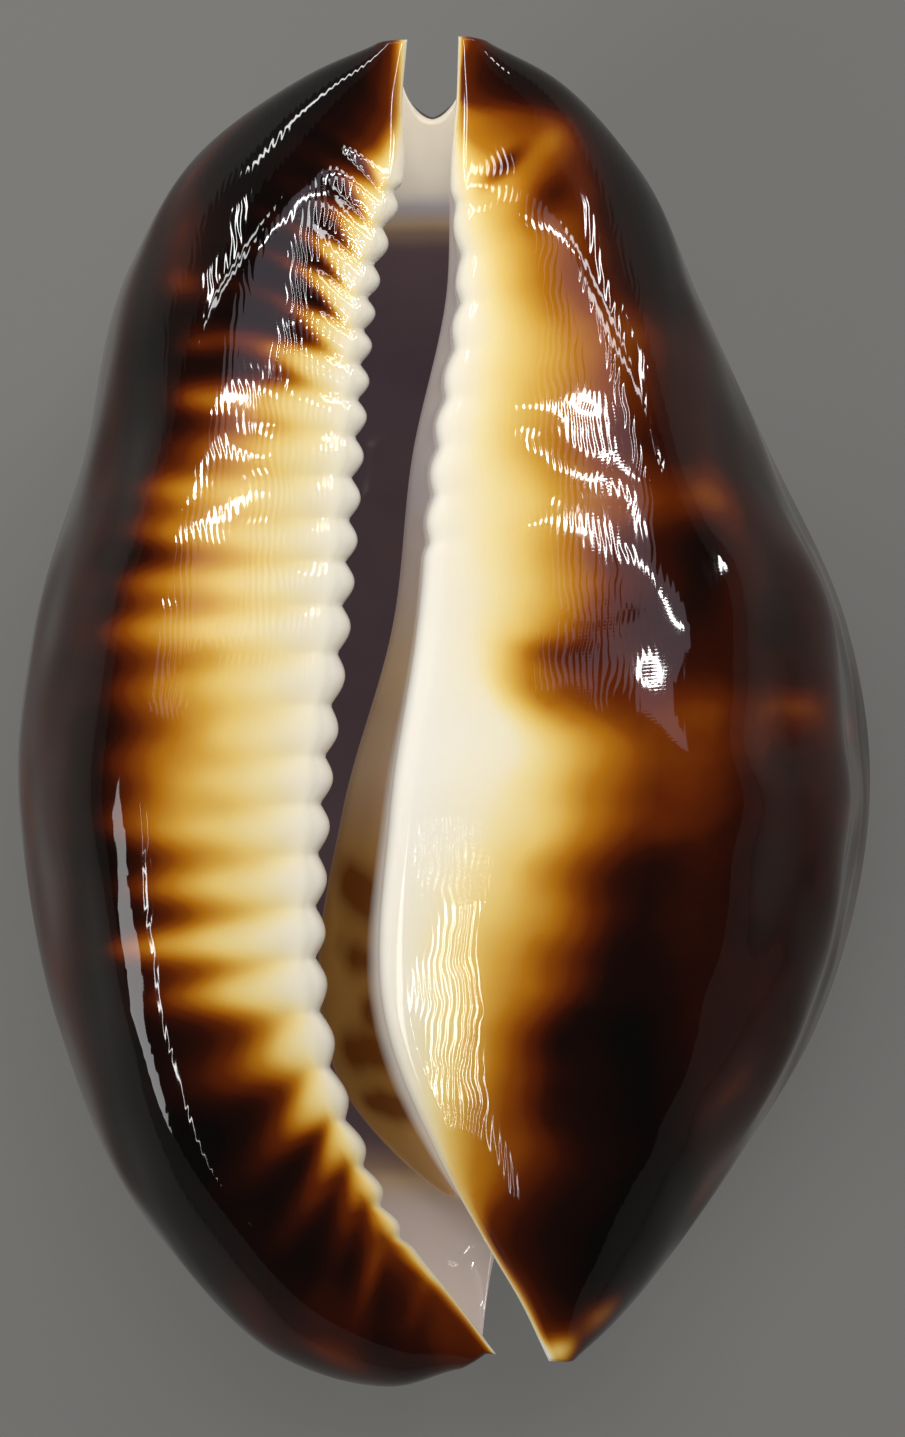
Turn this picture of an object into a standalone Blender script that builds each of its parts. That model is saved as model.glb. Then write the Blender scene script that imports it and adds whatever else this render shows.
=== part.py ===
"""Cowrie shell, one closed body, lying on its back with the toothed slit upward.

The shell is a thick sheet bent almost into a tube.  Eight rails run the length of
it: the two lips of the slit, the two side margins and the middle of the back on
the outside, and the matching margins and back of the hollow on the inside.  At a
set of stations the rails are joined by quarter super-ellipses into one closed
ring, and the rings are lofted.  The rolled-up inner whorl is a swelling under the
smooth lip, and both ends are closed by a narrow rounded edge, so that the slit
runs out of the shell through a notch at each end.

Units are metres in Blender and millimetres in the tables.  +Y is the front end,
+X the smooth lip's side, +Z up out of the slit.  The origin is under the middle.
"""
import bpy
import bmesh
import numpy as np

MM = 0.001
LENGTH = 80.0            # front end to hind end; the tables below are drawn at this length

# share of the way from hind end to front end for the twelve stations of every rail
SHARE = (0, .04, .09, .16, .28, .42, .56, .70, .82, .91, .965, 1)
RAILS = {
    "toothed_lip": ((2.8, -38.0, 36.6), (.9, -35.4, 37.6), (-2.0, -31.6, 38.9), (-4.6, -26, 40.2),
                    (-6.8, -17.5, 42), (-6.75, -6, 43), (-5.55, 5, 43), (-4.75, 15.5, 42.6),
                    (-3.9, 25, 41.6), (-2.45, 32, 40.2), (-2.55, 36.5, 38.8), (-2.3, 39.6, 37.4)),
    "smooth_lip": ((6.0, -38.4, 36.6), (4.6, -35.4, 37.8), (2.6, -31.9, 39), (-.5, -26.2, 40.4),
                   (-3.7, -17.5, 42.2), (-3.3, -6, 43.2), (-1.7, 5, 43.2), (-.8, 15.5, 42.8),
                   (.55, 25, 41.8), (.3, 32, 40.4), (.65, 36.5, 39), (.75, 39.8, 37.4)),
    "margin_toothed": ((.5, -39.4, 34.4), (-3.5, -40.6, 32.6), (-10.0, -38.9, 31.4), (-17.5, -31.6, 29.4),
                       (-23.7, -19.6, 26.5), (-26.3, -6.5, 24), (-25.4, 5, 24), (-22.2, 16.2, 25.5),
                       (-19.2, 27.0, 28.5), (-14.0, 34.4, 32), (-8.0, 38.2, 34.5), (-4.3, 39.7, 35.7)),
    "margin_smooth": ((7.9, -38.6, 34.4), (9.9, -37.0, 32.6), (12.4, -34.3, 31.4), (16.6, -28.8, 29.4),
                      (22.8, -19.3, 25.5), (26.2, -6.5, 23), (24.9, 5.2, 23), (20.0, 16, 24.5),
                      (15.6, 24.8, 28), (11.4, 33, 32), (6.6, 37.8, 34.8), (2.7, 39.8, 35.7)),
    "back": ((3.8, -31.8, 30.0), (3.6, -32.6, 24.5), (2.7, -31.4, 18.2), (1.1, -27.0, 10.2),
             (-.2, -18, 2.7), (-.6, -6, .05), (-.6, 5, .75), (-.5, 15.5, 4.4),
             (-.4, 24.6, 10.8), (-.7, 31.6, 18.8), (-.8, 35.2, 25.6), (-.8, 35.9, 30.8)),
    "inside_toothed": ((2.1, -38.0, 34.3), (-.3, -35.6, 34.1), (-3.5, -32.0, 33.6), (-9.5, -27.4, 31.6),
                       (-18.6, -18.6, 27.5), (-22.2, -6.2, 24.5), (-21.4, 5, 24.5), (-18.2, 15.8, 26),
                       (-14, 25.2, 29.5), (-6.5, 31.8, 33), (-4.0, 36, 34.4), (-3.1, 39.4, 35.5)),
    "inside_smooth": ((6.9, -38.2, 34.3), (6.8, -35.8, 33.9), (6.9, -32.6, 33.0), (9.5, -26.5, 31),
                      (18, -17.8, 26), (22.2, -6, 23.5), (21, 5, 23.5), (16.2, 15.5, 25.5),
                      (10.5, 24.4, 29.5), (3.8, 31.5, 33), (2.0, 36, 34.4), (1.5, 39.5, 35.5)),
    "inside_back": ((3.8, -31.5, 31.4), (3.2, -29.9, 30.2), (2.0, -27.4, 26.4), (.6, -23.2, 17.8),
                    (0, -16.0, 7.8), (-.3, -5.8, 3.4), (-.3, 4.8, 3.8), (-.2, 14.4, 7.6),
                    (-.4, 22.4, 14.2), (-.8, 27.6, 22.8), (-.8, 31.8, 29.4), (-.8, 35.3, 32.3)),
}
LIP_DEPTH = (1.3, 2.2, 3.2, 4.0, 4.6, 4.8, 4.8, 4.6, 4.2, 3.2, 2.2, 1.3)
LIP_ROUND = (.65, 1.0, 1.3, 1.5, 1.6, 1.6, 1.6, 1.5, 1.4, 1.2, 1.0, .65)
BASE_CREST = (0, .1, .3, .6, .9, 1.0, 1.0, .9, .7, .4, .1, 0)    # arch of the base above its lips
# share of the side's height that the plateau of the base cuts off
SHOULDER = (0, .06, .14, .23, .28, .29, .28, .26, .2, .12, .05, 0)
ARCH = .95               # how far out to the margin the arch of the base reaches, as a share
SHOULDER_ROUND = .12     # softness of that cut, as a share of what is cut off
SIDE_POWER = 2.2
BACK_POWER = 2.2
BACK_LEAN, FLOOR_LEAN = 1.5, 2.6    # how late the back and the hollow swing out to the ends

# the teeth, by their place along the slit from the front end
TOOTHED_LIP_TEETH = (29.65, 27.4, 25.3, 23.4, 21.5, 19.4, 17.3, 14.95, 12.5, 10.0, 7.55, 4.9,
                     1.95, -1.2, -4.0, -6.8, -9.9, -13.0, -15.95, -19.3, -22.65, -25.6, -28.2, -30.3)
SMOOTH_LIP_TEETH = (28.4, 25.2, 22.8, 19.8, 16.9, 14.1, 11.2)
TOOTH_DEPTH, RIB_DEPTH = .62, .22        # how deep the grooves cut into the lip's edge, and into its top
RIB_NEAR, RIB_REACH = 3.6, 12.5          # the ribs are strong as far as the first, and gone by the second
FORE_FAN, HIND_FAN = .85, .9             # swing of the end ribs towards the ends, per millimetre of length
FAN_REACH = 4.0                          # the swing dies away over this length
FOLD_DEPTH, FOLD_REACH = .34, 1.5        # depth and length of the short folds of the smooth lip

# the inner whorl: how far it shows past the smooth lip, and its radius
WHORL_SHOW = (0, 0, 2.2, 4.0, 3.9, 2.9, 1.5, 1.15, .5, 0, 0, 0)
WHORL_RADIUS = (0, 2.5, 5.5, 7.2, 7.6, 7.0, 5.5, 4.1, 2.8, 1.4, 0, 0)
WHORL_END = (-20.0, 9.2)  # where its egg-shaped hind end begins, and how long it is

RIDGE = .5               # callus ridge near the smooth margin, with the hollow outside it
REST_CUT = .22           # height of the small flat the shell stands on

AROUND_BASE, AROUND_BACK, AROUND_LIP = 9, 7, 3
# the points from lip to margin: share of the points, and share of the quarter turn
BASE_SHARE, BASE_TURN = (0, .3, .45, .85, 1), (0, .16, .36, .76, 1)
END_ROUND = .38          # how far the rounded edge stands out beyond the last ring


def station_curve(v, table):
    """Cubic Hermite through one row of the table per station, for every v at once."""
    k, p = np.array(SHARE), np.array(table, float)
    p = p.reshape(len(k), -1)
    m = np.gradient(p, k, axis=0)
    i = np.clip(np.searchsorted(k, v, side="right") - 1, 0, len(k) - 2)
    h = (k[i + 1] - k[i])[:, None]
    t = (v - k[i])[:, None] / h
    return ((2*t**3 - 3*t**2 + 1)*p[i] + (t**3 - 2*t**2 + t)*h*m[i]
            + (-2*t**3 + 3*t**2)*p[i + 1] + (t**3 - t**2)*h*m[i + 1])


def ease(x):
    """Smooth step from 0 to 1."""
    x = np.clip(x, 0, 1)
    return x*x*(3 - 2*x)


def tooth_count(y, places):
    """Number of teeth passed at y, so that every whole number is the crest of a tooth."""
    at = np.array(places, float)[::-1]
    number = np.arange(len(at), 0, -1.0)
    first, last = at[1] - at[0], at[-1] - at[-2]
    at = np.concatenate([[at[0] - 3*first], at, [at[-1] + 3*last]])
    number = np.concatenate([[number[0] + 3], number, [number[-1] - 3]])
    return np.interp(y, at, number)


def fan(y, far):
    """How far a rib has swung towards its end of the shell at a distance from the lip."""
    swing = FORE_FAN*ease((y - 13)/13) - HIND_FAN*ease((-15 - y)/14)
    return swing*FAN_REACH*(1 - np.exp(-far/FAN_REACH))


def groove(count, how_many):
    """1 at the bottom of the groove between two teeth, 0 on the crests and past the last tooth."""
    inside = ease((count - .2)/.5)*ease((how_many + .8 - count)/.5)
    return (1 - (.5 + .5*np.cos(2*np.pi*count))**.75)*inside


def quarter(pole, side, tau, power, lean):
    """Quarter super-ellipse from a pole (tau 0) out to a side (tau 90 degrees)."""
    s, c = np.sin(tau)[None], np.cos(tau)[None]
    n = power[:, None]
    k = (s**n + c**n)**(-1/n)
    s, c = s*k, c*k
    return np.stack([pole[:, :1] + (side[:, :1] - pole[:, :1])*s,
                     pole[:, 1:2] + (side[:, 1:2] - pole[:, 1:2])*s**lean,
                     side[:, 2:] + (pole[:, 2:] - side[:, 2:])*c], -1)


def base_curve(pole, side, tau, crest, shoulder):
    """The base from lip to margin: a tall quarter cut off by an arched plateau.

    The shoulder between them is rounded, as the soft minimum of the two heights.
    """
    spare = shoulder*(pole[:, 2:] - side[:, 2:])
    tall = pole + spare*np.array([0, 0, 1.0])
    curve = quarter(tall, side, tau, np.full(len(pole), SIDE_POWER), 1.0)
    out = (curve[..., 0] - curve[:, :1, 0])/(curve[:, -1:, 0] - curve[:, :1, 0])
    over = curve[..., 2] - pole[:, 2:] - crest*np.sin(np.pi*out/ARCH)
    soft = SHOULDER_ROUND*spare + .02
    curve[..., 2] -= soft*np.logaddexp(0, over/soft)
    return curve, out


def run_out(row):
    """Length along each ring from its first point."""
    step = np.linalg.norm(np.diff(row, axis=1), axis=2)
    return np.concatenate([np.zeros((len(row), 1)), np.cumsum(step, 1)], 1)


def rings(v):
    """Closed rings for every v: an array (stations, points around, 3), and the fold map.

    The fold map gives each point of a ring its place on the ring's middle line, the
    line halfway through the thickness of the shell, for the ends to be closed on.
    """
    r = {name: station_curve(v, table) for name, table in RAILS.items()}
    depth, soft = station_curve(v, LIP_DEPTH), station_curve(v, LIP_ROUND)
    crest, shoulder = station_curve(v, BASE_CREST), station_curve(v, SHOULDER)
    back_power = np.full(len(v), BACK_POWER)
    a = np.interp(np.linspace(0, 1, AROUND_BASE + 1), BASE_SHARE, BASE_TURN)*np.pi/2
    b = np.linspace(0, 1, AROUND_BACK + 1)**1.25*np.pi/2

    def under(rail, drop):
        top = rail.copy()
        top[:, 2:] -= drop
        return top

    tooth, plain = r["toothed_lip"].copy(), r["smooth_lip"].copy()
    tooth[:, :1] -= soft
    plain[:, :1] += soft
    base_t, _ = base_curve(tooth, r["margin_toothed"], a, crest, shoulder)
    base_s, out = base_curve(plain, r["margin_smooth"], a, crest, shoulder)
    back_t = quarter(r["back"], r["margin_toothed"], b, back_power, BACK_LEAN)
    back_s = quarter(r["back"], r["margin_smooth"], b, back_power, BACK_LEAN)
    in_t = quarter(under(tooth, depth), r["inside_toothed"], a, back_power, 1.0)
    in_s = quarter(under(plain, depth), r["inside_smooth"], a, back_power, 1.0)
    floor_t = quarter(r["inside_back"], r["inside_toothed"], b, back_power, FLOOR_LEAN)
    floor_s = quarter(r["inside_back"], r["inside_smooth"], b, back_power, FLOOR_LEAN)

    psi = np.radians(np.linspace(90, -90, 2*AROUND_LIP + 1))
    def wall(lip, pole, way):
        x = pole[:, :1] + way*soft*np.cos(psi)
        z = pole[:, 2:] - depth/2 + depth/2*np.sin(psi)
        return np.stack([x, np.repeat(lip[:, 1:2], len(psi), 1), z], -1)
    wall_t = wall(r["toothed_lip"], tooth, +1)
    wall_s = wall(r["smooth_lip"], plain, -1)

    # the callus ridge of the smooth side
    y = r["smooth_lip"][:, 1:2]
    strength = ease((y + 27)/9)*ease((16 - y)/9)*RIDGE
    base_s[..., 0] += strength*(np.exp(-((out - .9)/.05)**2) - 1.3*np.exp(-((out - .975)/.03)**2))
    # ribs of the toothed lip
    far = run_out(base_t)
    y = r["toothed_lip"][:, 1:2]
    dip = groove(tooth_count(y - fan(y, far), TOOTHED_LIP_TEETH), len(TOOTHED_LIP_TEETH))
    fade = .82*(1 - ease(far/RIB_NEAR)) + .18*(1 - ease(far/RIB_REACH))
    base_t[..., 2] -= RIB_DEPTH*dip*fade*(.6 + .4*ease(far/.8))
    side = np.cos(psi)[None]
    wall_t[..., 0] -= TOOTH_DEPTH*dip[:, :1]*side
    wall_t[:, :1, 2] -= RIB_DEPTH*dip[:, :1]*.6
    # short folds of the smooth lip
    count = tooth_count(r["smooth_lip"][:, 1], SMOOTH_LIP_TEETH)
    dip = groove(count, len(SMOOTH_LIP_TEETH))[:, None]
    far = run_out(base_s)
    base_s[..., 2] -= FOLD_DEPTH*dip*(1 - ease(far/FOLD_REACH))*.4
    wall_s[..., 0] += FOLD_DEPTH*dip*side
    wall_s[:, :1, 2] -= FOLD_DEPTH*dip*.4

    # inner whorl: the lower half of the smooth lip's wall and the roof of the hollow
    # beside it are carried out on to an ellipse
    y = r["smooth_lip"][:, 1:2]
    blunt = np.sqrt(1 - np.clip((WHORL_END[0] - y)/WHORL_END[1], 0, 1)**2)
    show = station_curve(v, WHORL_SHOW)*blunt
    radius = station_curve(v, WHORL_RADIUS)*blunt
    path = np.concatenate([wall_s[:, AROUND_LIP:], in_s[:, 1:]], 1)
    j = np.arange(path.shape[1])
    last = round(.745*len(j))
    turn = np.radians(150 + 235*np.clip(j/(last - 1), 0, 1)**1.6)
    egg = np.stack([r["smooth_lip"][:, :1] - show + radius + radius*np.cos(turn), path[..., 1],
                    r["smooth_lip"][:, 2:] - depth - .75*radius + radius*np.sin(turn)], -1)
    near, far = j/(.15*last), (last - j)/(.27*last)
    blend = (ease(np.minimum(near, far))[None]*ease(radius/1.6))[..., None]
    path = path*(1 - blend) + egg*blend
    wall_s = np.concatenate([wall_s[:, :AROUND_LIP], path[:, :AROUND_LIP + 1]], 1)
    in_s = path[:, AROUND_LIP:]

    outer = np.concatenate([base_t, back_t[:, ::-1][:, 1:], back_s[:, 1:], base_s[:, ::-1][:, 1:]], 1)
    inner = np.concatenate([in_t, floor_t[:, ::-1][:, 1:], floor_s[:, 1:], in_s[:, ::-1][:, 1:]], 1)
    ring = np.concatenate([outer, wall_s[:, 1:-1], inner[:, ::-1], wall_t[:, 1:-1][:, ::-1]], 1)

    n, w = outer.shape[1], 2*AROUND_LIP
    lip = np.arange(1, w)
    lip = np.minimum(lip, w - lip)
    fold = np.concatenate([AROUND_LIP + np.arange(n), AROUND_LIP + n - 1 + lip,
                           AROUND_LIP + np.arange(n)[::-1], (AROUND_LIP - lip)[::-1]])
    return ring, fold


def stations():
    """Shares of the length: one on every crest and in every groove of the toothed lip."""
    fine = np.linspace(0, 1, 4001)
    count = tooth_count(station_curve(fine, RAILS["toothed_lip"])[:, 1], TOOTHED_LIP_TEETH)
    wanted = np.arange(.5, len(TOOTHED_LIP_TEETH) + .6, .5)
    teeth = np.interp(wanted, count[::-1], fine[::-1])[::-1]
    hind = np.linspace(0, 1, 8)[:-1]*teeth[0]
    front = teeth[-1] + np.linspace(0, 1, 8)[1:]*(1 - teeth[-1])
    return np.concatenate([hind, teeth, front])


def loft():
    """Corners and triangles of the closed body."""
    v = stations()
    ring, fold = rings(v)
    rows, around = ring.shape[:2]
    ring[..., 2] = np.maximum(ring[..., 2], ring[..., 2].min() + REST_CUT)

    here = np.arange(rows*around).reshape(rows, around)
    nxt = np.roll(here, -1, 1)
    a, b, c, d = here[:-1], nxt[:-1], nxt[1:], here[1:]
    flip = (np.arange(rows - 1) % 2 == 0)[:, None]
    one = np.where(flip[..., None], np.stack([a, b, c], -1), np.stack([a, b, d], -1))
    two = np.where(flip[..., None], np.stack([a, c, d], -1), np.stack([b, c, d], -1))
    faces = [one.reshape(-1, 3), two.reshape(-1, 3)]

    points = [ring.reshape(-1, 3)]
    total = rows*around
    middle = fold.max() + 1
    for row, inward, hind in ((0, 1, True), (-1, -2, False)):
        line = np.zeros((middle, 3))
        weight = np.bincount(fold, minlength=middle)[:, None]
        np.add.at(line, fold, ring[row])
        away = np.zeros((middle, 3))
        np.add.at(away, fold, ring[row] - ring[inward])
        line, away = line/weight, away/weight
        away /= np.linalg.norm(away, axis=1, keepdims=True)
        points.append(line + END_ROUND*away)
        edge, edge_next = here[row], nxt[row]
        mid = total + fold
        mid_next = np.roll(mid, -1)
        first = np.stack([edge, mid, edge_next], -1)
        second = np.stack([edge_next, mid, mid_next], -1)
        cap = np.concatenate([first, second])
        faces.append(cap if hind else cap[:, ::-1])
        total += middle
    points = np.concatenate(points)
    low, high = points.min(0), points.max(0)
    points -= ((low[0] + high[0])/2, (low[1] + high[1])/2, low[2])
    return points*LENGTH/(high[1] - low[1]), np.concatenate(faces)


def main():
    for old in list(bpy.data.objects):
        bpy.data.objects.remove(old, do_unlink=True)
    points, faces = loft()
    mesh = bpy.data.meshes.new("shell")
    mesh.from_pydata((points*MM).tolist(), [], faces.tolist())
    bm = bmesh.new()
    bm.from_mesh(mesh)
    bmesh.ops.recalc_face_normals(bm, faces=bm.faces)
    bm.to_mesh(mesh)
    bm.free()

    enamel = bpy.data.materials.new("shell_enamel")
    enamel.use_nodes = True
    surface = enamel.node_tree.nodes["Principled BSDF"]
    surface.inputs["Base Color"].default_value = (.16, .08, .045, 1)
    surface.inputs["Roughness"].default_value = .18
    mesh.materials.append(enamel)

    home = bpy.data.collections.new("cowrie_shell")
    bpy.context.scene.collection.children.link(home)
    home.objects.link(bpy.data.objects.new("shell", mesh))


main()
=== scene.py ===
# %% [markdown]
# # A cowrie shell, lying on its back
#
# A cowrie is a snail's coil whose last turn has swallowed all the others. What is
# left to see is one glossy, swollen body, split along its underside by a narrow
# toothed slit. Here it lies on its hump with the slit upward. The whole thing is
# grown in one piece, so it is made as one closed surface: rails run the length of
# the shell, curves are drawn from rail to rail round it, and the rest is colour.

import bpy
import numpy as np
from mathutils import Matrix, Vector


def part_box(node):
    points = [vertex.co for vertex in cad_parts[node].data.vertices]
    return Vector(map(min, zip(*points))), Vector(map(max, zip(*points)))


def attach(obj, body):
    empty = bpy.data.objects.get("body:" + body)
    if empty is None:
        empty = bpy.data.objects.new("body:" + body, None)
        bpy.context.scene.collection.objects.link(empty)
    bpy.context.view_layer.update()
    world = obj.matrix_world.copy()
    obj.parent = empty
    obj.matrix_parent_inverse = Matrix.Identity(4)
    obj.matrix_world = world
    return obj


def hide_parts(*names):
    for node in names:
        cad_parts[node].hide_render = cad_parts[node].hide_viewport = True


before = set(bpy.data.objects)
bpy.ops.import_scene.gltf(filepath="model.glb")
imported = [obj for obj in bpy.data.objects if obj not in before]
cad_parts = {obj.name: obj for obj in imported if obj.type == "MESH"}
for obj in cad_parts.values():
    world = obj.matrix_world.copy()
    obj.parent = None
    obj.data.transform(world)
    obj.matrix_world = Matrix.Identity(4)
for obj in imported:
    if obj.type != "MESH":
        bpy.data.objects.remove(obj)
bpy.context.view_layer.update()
shell_low, shell_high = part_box("shell")

# %% [markdown]
# ## The camera
#
# The shell is looked at from straight above, from four and a half times its own
# length, so that the margins, which lie lower than the base, shrink only slightly.
# A camera that isn't turned looks down -Z with +Y up, so it needs only a place.

# %% Camera
CAMERA_AT = (0.00042, -0.00019, 0.3595)
LENS = 137.5
CLIP_START = .01

camera = bpy.data.objects.new("camera", bpy.data.cameras.new("camera"))
camera.location = CAMERA_AT
camera.data.lens = LENS
camera.data.clip_start = CLIP_START
bpy.context.scene.collection.objects.link(camera)
bpy.context.scene.camera = camera
print("camera at", CAMERA_AT)

# %% [markdown]
# ## The rails
#
# Every ring of the shell passes through eight places: the edges of the two lips,
# the two side margins and the middle of the back outside, and the two margins and
# the floor of the hollow inside. Each place moves along the shell on a rail, given
# here at twelve stations from the hind end to the front end, in millimetres.
# The rails could be splines drawn by hand; a table is easier to change and check.

# %% Tables of the rails
SHARE = (0, .04, .09, .16, .28, .42, .56, .70, .82, .91, .965, 1)
RAILS = {
    "toothed_lip": (
        (2.8, -38, 36.6), (.9, -35.4, 37.6), (-2, -31.6, 38.9), (-4.6, -26, 40.2),
        (-6.8, -17.5, 42), (-6.75, -6, 43), (-5.55, 5, 43), (-4.75, 15.5, 42.6),
        (-3.9, 25, 41.6), (-2.45, 32, 40.2), (-2.55, 36.5, 38.8), (-2.3, 39.6, 37.4)),
    "smooth_lip": (
        (6, -38.4, 36.6), (4.6, -35.4, 37.8), (2.6, -31.9, 39), (-.5, -26.2, 40.4),
        (-3.7, -17.5, 42.2), (-3.3, -6, 43.2), (-1.7, 5, 43.2), (-.8, 15.5, 42.8),
        (.55, 25, 41.8), (.3, 32, 40.4), (.65, 36.5, 39), (.75, 39.8, 37.4)),
    "margin_toothed": (
        (.5, -39.4, 34.4), (-3.5, -40.6, 32.6), (-10, -38.9, 31.4), (-17.5, -31.6, 29.4),
        (-23.7, -19.6, 26.5), (-26.3, -6.5, 24), (-25.4, 5, 24), (-22.2, 16.2, 25.5),
        (-19.2, 27, 28.5), (-14, 34.4, 32), (-8, 38.2, 34.5), (-4.3, 39.7, 35.7)),
    "margin_smooth": (
        (7.9, -38.6, 34.4), (9.9, -37, 32.6), (12.4, -34.3, 31.4), (16.6, -28.8, 29.4),
        (22.8, -19.3, 25.5), (26.2, -6.5, 23), (24.9, 5.2, 23), (20, 16, 24.5),
        (15.6, 24.8, 28), (11.4, 33, 32), (6.6, 37.8, 34.8), (2.7, 39.8, 35.7)),
    "back": (
        (3.8, -31.8, 30), (3.6, -32.6, 24.5), (2.7, -31.4, 18.2), (1.1, -27, 10.2),
        (-.2, -18, 2.7), (-.6, -6, .05), (-.6, 5, .75), (-.5, 15.5, 4.4),
        (-.4, 24.6, 10.8), (-.7, 31.6, 18.8), (-.8, 35.2, 25.6), (-.8, 35.9, 30.8)),
    "inside_toothed": (
        (2.1, -38, 34.3), (-.3, -35.6, 34.1), (-3.5, -32, 33.6), (-9.5, -27.4, 31.6),
        (-18.6, -18.6, 27.5), (-22.2, -6.2, 24.5), (-21.4, 5, 24.5), (-18.2, 15.8, 26),
        (-14, 25.2, 29.5), (-6.5, 31.8, 33), (-4, 36, 34.4), (-3.1, 39.4, 35.5)),
    "inside_smooth": (
        (6.9, -38.2, 34.3), (6.8, -35.8, 33.9), (6.9, -32.6, 33), (9.5, -26.5, 31),
        (18, -17.8, 26), (22.2, -6, 23.5), (21, 5, 23.5), (16.2, 15.5, 25.5),
        (10.5, 24.4, 29.5), (3.8, 31.5, 33), (2, 36, 34.4), (1.5, 39.5, 35.5)),
    "inside_back": (
        (3.8, -31.5, 31.4), (3.2, -29.9, 30.2), (2, -27.4, 26.4), (.6, -23.2, 17.8),
        (0, -16, 7.8), (-.3, -5.8, 3.4), (-.3, 4.8, 3.8), (-.2, 14.4, 7.6),
        (-.4, 22.4, 14.2), (-.8, 27.6, 22.8), (-.8, 31.8, 29.4), (-.8, 35.3, 32.3)),
}
# at each station: height of the lips' walls, radius of their edges, height of the base's
# arch, and how far the uncut curve would stand above it, as a share of the curve's height
LIP_DEPTH = (1.3, 2.2, 3.2, 4, 4.6, 4.8, 4.8, 4.6, 4.2, 3.2, 2.2, 1.3)
LIP_ROUND = (.65, 1, 1.3, 1.5, 1.6, 1.6, 1.6, 1.5, 1.4, 1.2, 1, .65)
BASE_CREST = (0, .1, .3, .6, .9, 1, 1, .9, .7, .4, .1, 0)
SHOULDER = (0, .06, .14, .23, .28, .29, .28, .26, .2, .12, .05, 0)
print(len(RAILS), "rails at", len(SHARE), "stations")

# %% Curves through the tables
def curve_through(at, table):
    """Cubic Hermite curve through rows of (place, values), at any array of places: a
    blend of the rows on either side and of the slopes there, each slope being that of
    a parabola through the row and its two neighbours. It stays level past the ends."""
    rows = np.array(table, float)
    place, value = rows[:, 0], rows[:, 1:]
    slope = np.gradient(value, place, axis=0)
    i = np.clip(np.searchsorted(place, at, side="right") - 1, 0, len(place) - 2)
    gap = (place[i + 1] - place[i])[..., None]
    t = np.clip((at - place[i])[..., None]/gap, 0, 1)
    return ((2*t**3 - 3*t**2 + 1)*value[i] + (t**3 - 2*t**2 + t)*gap*slope[i]
            + (-2*t**3 + 3*t**2)*value[i + 1] + (t**3 - t**2)*gap*slope[i + 1])


def station_curve(v, table):
    """The same curve through a table of twelve stations, at shares v of the length."""
    return curve_through(v, np.column_stack([SHARE, table]))


def ease(x):
    """0 below 0, 1 above 1, and between them 3x^2 - 2x^3, which starts and ends level."""
    x = np.clip(x, 0, 1)
    return x*x*(3 - 2*x)


def eased(x, start, end):
    """ease of the share of the way that x has come from start to end."""
    return ease((x - start)/(end - start))


def bell(x, middle, width):
    """exp(-d^2), with d the distance from the middle over the width."""
    return np.exp(-((x - middle)/width)**2)


passed = station_curve(np.linspace(0, 1, 5), RAILS["toothed_lip"])
print("toothed lip passes", passed.round(1).tolist())

# %% [markdown]
# ## The teeth
#
# On the real shell each tooth of the outer lip is the end of a low rib that runs
# out over the base and dies away. Teeth could be modelled one by one, but they are
# evenly varied ripples, so one wave does them all: the count of teeth passed,
# read from a table of their places, is put through a cosine. The teeth are closer
# together towards the front end, and the table keeps that.

# %% Where the teeth stand
TOOTHED_LIP_TEETH = (29.65, 27.4, 25.3, 23.4, 21.5, 19.4, 17.3, 14.95, 12.5, 10, 7.55, 4.9,
                     1.95, -1.2, -4, -6.8, -9.9, -13, -15.95, -19.3, -22.65, -25.6, -28.2, -30.3)
SMOOTH_LIP_TEETH = (28.4, 25.2, 22.8, 19.8, 16.9, 14.1, 11.2)
GROOVE_POWER = .55
# how steeply the ribs swing towards each end, the places along y between which that
# sets in, and the distance from the lip over which it dies away
FORE_FAN, HIND_FAN = .85, .9
FORE_FAN_Y, HIND_FAN_Y = (13, 26), (-15, -29)
FAN_REACH = 4


def tooth_count(y, places):
    """How many teeth lie forward of y, a whole number on each crest, in straight
    steps between crests and carried on past the first and last at their spacing."""
    at = np.array(places, float)[::-1]
    number = np.arange(len(at), 0, -1.0)
    first, last = at[1] - at[0], at[-1] - at[-2]
    at = np.concatenate([[at[0] - 3*first], at, [at[-1] + 3*last]])
    number = np.concatenate([[number[0] + 3], number, [number[-1] - 3]])
    return np.interp(y, at, number)


def fan(y, far):
    """How far a rib has swung towards its end of the shell at a distance from the
    lip: nothing in the middle, eased in towards both ends, and dying away outward
    as 1 - e^(-far/reach)."""
    swing = FORE_FAN*eased(y, *FORE_FAN_Y) - HIND_FAN*eased(y, *HIND_FAN_Y)
    return swing*FAN_REACH*(1 - np.exp(-far/FAN_REACH))


def groove(count, how_many):
    """1 - (half a raised cosine of the count)^power: round crests, narrow grooves,
    and nothing before the first tooth or after the last."""
    inside = eased(count, .2, .7)*eased(count, how_many + .8, how_many + .3)
    return (1 - (.5 + .5*np.cos(2*np.pi*count))**GROOVE_POWER)*inside


print(len(TOOTHED_LIP_TEETH), "teeth on one lip and", len(SMOOTH_LIP_TEETH), "folds on the other")

# %% [markdown]
# ## From rail to rail
#
# A circle would make the shell too round and a box too square. A super-ellipse lies
# between: its power says how square the shoulder is. Four quarters make the outside
# of a ring and four more the hollow, each from a pole (a lip, the back or the
# floor) to a side (a margin).

# %% Quarter curves
POWER = 2.2
# share of the way to the margin that the base's arch spans, how softly its plateau
# meets the flank as a share of what is cut off, and the least of that in mm
ARCH, SHOULDER_ROUND, LEAST_ROUND = .95, .12, .02


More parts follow.
